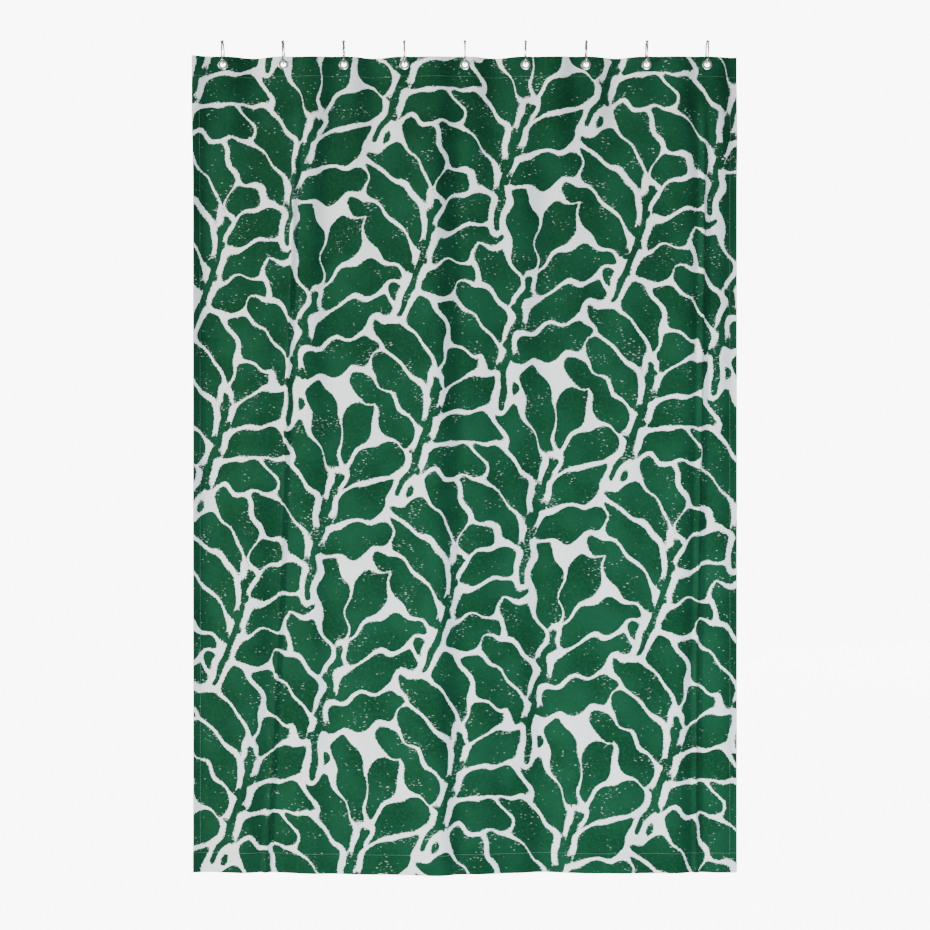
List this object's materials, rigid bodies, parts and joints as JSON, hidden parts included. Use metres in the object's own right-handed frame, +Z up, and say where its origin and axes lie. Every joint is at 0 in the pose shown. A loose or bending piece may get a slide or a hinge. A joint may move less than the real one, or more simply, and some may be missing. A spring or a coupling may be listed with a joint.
{
  "type": "shower curtain",
  "caption": "Leaf-printed fabric shower curtain with hems, an eyeleted top edge and hinged snap rings that slide along a rod.",
  "frame": {"origin": "on the axis of the rod that the rings hang on, midway between the curtain's side edges", "axes": "+X along the rod towards the leading edge, -Y towards the viewer of the printed face, +Z up"},
  "size_m": [1.3214, 0.0576, 2.0202],
  "materials": {
    "printed_cloth": "woven polyester, leaf print in green on off-white, water-repellent",
    "plain_tape": "plain woven stiffener tape",
    "bead_cord": "steel beads in a thin sleeve",
    "nickel": "satin nickel plate",
    "polished_steel": "polished"
  },
  "bodies": {
    "anchor_ring": {"ring_hoop_1": "polished_steel", "hinge_pin_1": "polished_steel"},
    "curtain": {"panel": "printed_cloth", "top_hem": "printed_cloth", "header_stiffener": "plain_tape", "anchor_side_hem": "printed_cloth", "leading_side_hem": "printed_cloth", "bottom_hem": "printed_cloth", "hem_weight_cord": "bead_cord", "eyelet_1": "nickel", "eyelet_washer_1": "nickel"},
    "ring_9_set": {"ring_hoop_9": "polished_steel", "hinge_pin_9": "polished_steel"},
    "ring_2_set": {"ring_hoop_2": "polished_steel", "hinge_pin_2": "polished_steel"},
    "ring_3_set": {"ring_hoop_3": "polished_steel", "hinge_pin_3": "polished_steel"},
    "ring_4_set": {"ring_hoop_4": "polished_steel", "hinge_pin_4": "polished_steel"},
    "ring_5_set": {"ring_hoop_5": "polished_steel", "hinge_pin_5": "polished_steel"},
    "ring_6_set": {"ring_hoop_6": "polished_steel", "hinge_pin_6": "polished_steel"},
    "ring_7_set": {"ring_hoop_7": "polished_steel", "hinge_pin_7": "polished_steel"},
    "ring_8_set": {"ring_hoop_8": "polished_steel", "hinge_pin_8": "polished_steel"},
    "eyelet_2_set": {"eyelet_2": "nickel", "eyelet_washer_2": "nickel"},
    "eyelet_3_set": {"eyelet_3": "nickel", "eyelet_washer_3": "nickel"},
    "eyelet_4_set": {"eyelet_4": "nickel", "eyelet_washer_4": "nickel"},
    "eyelet_5_set": {"eyelet_5": "nickel", "eyelet_washer_5": "nickel"},
    "eyelet_6_set": {"eyelet_6": "nickel", "eyelet_washer_6": "nickel"},
    "eyelet_7_set": {"eyelet_7": "nickel", "eyelet_washer_7": "nickel"},
    "eyelet_8_set": {"eyelet_8": "nickel", "eyelet_washer_8": "nickel"},
    "eyelet_9_set": {"eyelet_9": "nickel", "eyelet_washer_9": "nickel"},
    "gate_1_set": {"ring_gate_1": "polished_steel"},
    "gate_2_set": {"ring_gate_2": "polished_steel"},
    "gate_3_set": {"ring_gate_3": "polished_steel"},
    "gate_4_set": {"ring_gate_4": "polished_steel"},
    "gate_5_set": {"ring_gate_5": "polished_steel"},
    "gate_6_set": {"ring_gate_6": "polished_steel"},
    "gate_7_set": {"ring_gate_7": "polished_steel"},
    "gate_8_set": {"ring_gate_8": "polished_steel"},
    "gate_9_set": {"ring_gate_9": "polished_steel"}
  },
  "joints": [
    {"name": "swing", "type": "hinge", "parent": "anchor_ring", "child": "curtain", "pos_m": [0, 0, -0.0129], "axis": [1, 0, 0], "range_deg": [-15, 15]},
    {"name": "draw", "type": "slide", "parent": "anchor_ring", "child": "ring_9_set", "axis": [-1, 0, 0], "range_m": [0, 0.88], "deforming": ["panel", "top_hem", "header_stiffener", "anchor_side_hem", "leading_side_hem", "bottom_hem", "hem_weight_cord"]},
    {"name": "ring_2_slide", "type": "slide", "parent": "anchor_ring", "child": "ring_2_set", "axis": [-1, 0, 0], "range_m": [0, 0.11]},
    {"name": "ring_3_slide", "type": "slide", "parent": "anchor_ring", "child": "ring_3_set", "axis": [-1, 0, 0], "range_m": [0, 0.22]},
    {"name": "ring_4_slide", "type": "slide", "parent": "anchor_ring", "child": "ring_4_set", "axis": [-1, 0, 0], "range_m": [0, 0.33]},
    {"name": "ring_5_slide", "type": "slide", "parent": "anchor_ring", "child": "ring_5_set", "axis": [-1, 0, 0], "range_m": [0, 0.44]},
    {"name": "ring_6_slide", "type": "slide", "parent": "anchor_ring", "child": "ring_6_set", "axis": [-1, 0, 0], "range_m": [0, 0.55]},
    {"name": "ring_7_slide", "type": "slide", "parent": "anchor_ring", "child": "ring_7_set", "axis": [-1, 0, 0], "range_m": [0, 0.66]},
    {"name": "ring_8_slide", "type": "slide", "parent": "anchor_ring", "child": "ring_8_set", "axis": [-1, 0, 0], "range_m": [0, 0.77]},
    {"name": "eyelet_2_travel", "type": "slide", "parent": "curtain", "child": "eyelet_2_set", "axis": [-1, 0, 0], "range_m": [0, 0.11]},
    {"name": "eyelet_3_travel", "type": "slide", "parent": "curtain", "child": "eyelet_3_set", "axis": [-1, 0, 0], "range_m": [0, 0.22]},
    {"name": "eyelet_4_travel", "type": "slide", "parent": "curtain", "child": "eyelet_4_set", "axis": [-1, 0, 0], "range_m": [0, 0.33]},
    {"name": "eyelet_5_travel", "type": "slide", "parent": "curtain", "child": "eyelet_5_set", "axis": [-1, 0, 0], "range_m": [0, 0.44]},
    {"name": "eyelet_6_travel", "type": "slide", "parent": "curtain", "child": "eyelet_6_set", "axis": [-1, 0, 0], "range_m": [0, 0.55]},
    {"name": "eyelet_7_travel", "type": "slide", "parent": "curtain", "child": "eyelet_7_set", "axis": [-1, 0, 0], "range_m": [0, 0.66]},
    {"name": "eyelet_8_travel", "type": "slide", "parent": "curtain", "child": "eyelet_8_set", "axis": [-1, 0, 0], "range_m": [0, 0.77]},
    {"name": "eyelet_9_travel", "type": "slide", "parent": "curtain", "child": "eyelet_9_set", "axis": [-1, 0, 0], "range_m": [0, 0.88]},
    {"name": "gate_1_open", "type": "hinge", "parent": "anchor_ring", "child": "gate_1_set", "pos_m": [-0.58719, -0.01736, 0.00778], "axis": [-1, 0, 0], "range_deg": [0, 75]},
    {"name": "gate_2_open", "type": "hinge", "parent": "ring_2_set", "child": "gate_2_set", "pos_m": [-0.44039, -0.01736, 0.00778], "axis": [-1, 0, 0], "range_deg": [0, 75]},
    {"name": "gate_3_open", "type": "hinge", "parent": "ring_3_set", "child": "gate_3_set", "pos_m": [-0.29359, -0.01736, 0.00778], "axis": [-1, 0, 0], "range_deg": [0, 75]},
    {"name": "gate_4_open", "type": "hinge", "parent": "ring_4_set", "child": "gate_4_set", "pos_m": [-0.1468, -0.01736, 0.00778], "axis": [-1, 0, 0], "range_deg": [0, 75]},
    {"name": "gate_5_open", "type": "hinge", "parent": "ring_5_set", "child": "gate_5_set", "pos_m": [0, -0.01736, 0.00778], "axis": [-1, 0, 0], "range_deg": [0, 75]},
    {"name": "gate_6_open", "type": "hinge", "parent": "ring_6_set", "child": "gate_6_set", "pos_m": [0.1468, -0.01736, 0.00778], "axis": [-1, 0, 0], "range_deg": [0, 75]},
    {"name": "gate_7_open", "type": "hinge", "parent": "ring_7_set", "child": "gate_7_set", "pos_m": [0.29359, -0.01736, 0.00778], "axis": [-1, 0, 0], "range_deg": [0, 75]},
    {"name": "gate_8_open", "type": "hinge", "parent": "ring_8_set", "child": "gate_8_set", "pos_m": [0.44039, -0.01736, 0.00778], "axis": [-1, 0, 0], "range_deg": [0, 75]},
    {"name": "gate_9_open", "type": "hinge", "parent": "ring_9_set", "child": "gate_9_set", "pos_m": [0.58719, -0.01736, 0.00778], "axis": [-1, 0, 0], "range_deg": [0, 75]}
  ],
  "couplings": [
    {"joint": "ring_2_slide", "follows": "draw", "ratio": 0.125},
    {"joint": "ring_3_slide", "follows": "draw", "ratio": 0.25},
    {"joint": "ring_4_slide", "follows": "draw", "ratio": 0.375},
    {"joint": "ring_5_slide", "follows": "draw", "ratio": 0.5},
    {"joint": "ring_6_slide", "follows": "draw", "ratio": 0.625},
    {"joint": "ring_7_slide", "follows": "draw", "ratio": 0.75},
    {"joint": "ring_8_slide", "follows": "draw", "ratio": 0.875},
    {"joint": "eyelet_2_travel", "follows": "draw", "ratio": 0.125},
    {"joint": "eyelet_3_travel", "follows": "draw", "ratio": 0.25},
    {"joint": "eyelet_4_travel", "follows": "draw", "ratio": 0.375},
    {"joint": "eyelet_5_travel", "follows": "draw", "ratio": 0.5},
    {"joint": "eyelet_6_travel", "follows": "draw", "ratio": 0.625},
    {"joint": "eyelet_7_travel", "follows": "draw", "ratio": 0.75},
    {"joint": "eyelet_8_travel", "follows": "draw", "ratio": 0.875},
    {"joint": "eyelet_9_travel", "follows": "draw", "ratio": 1}
  ]
}
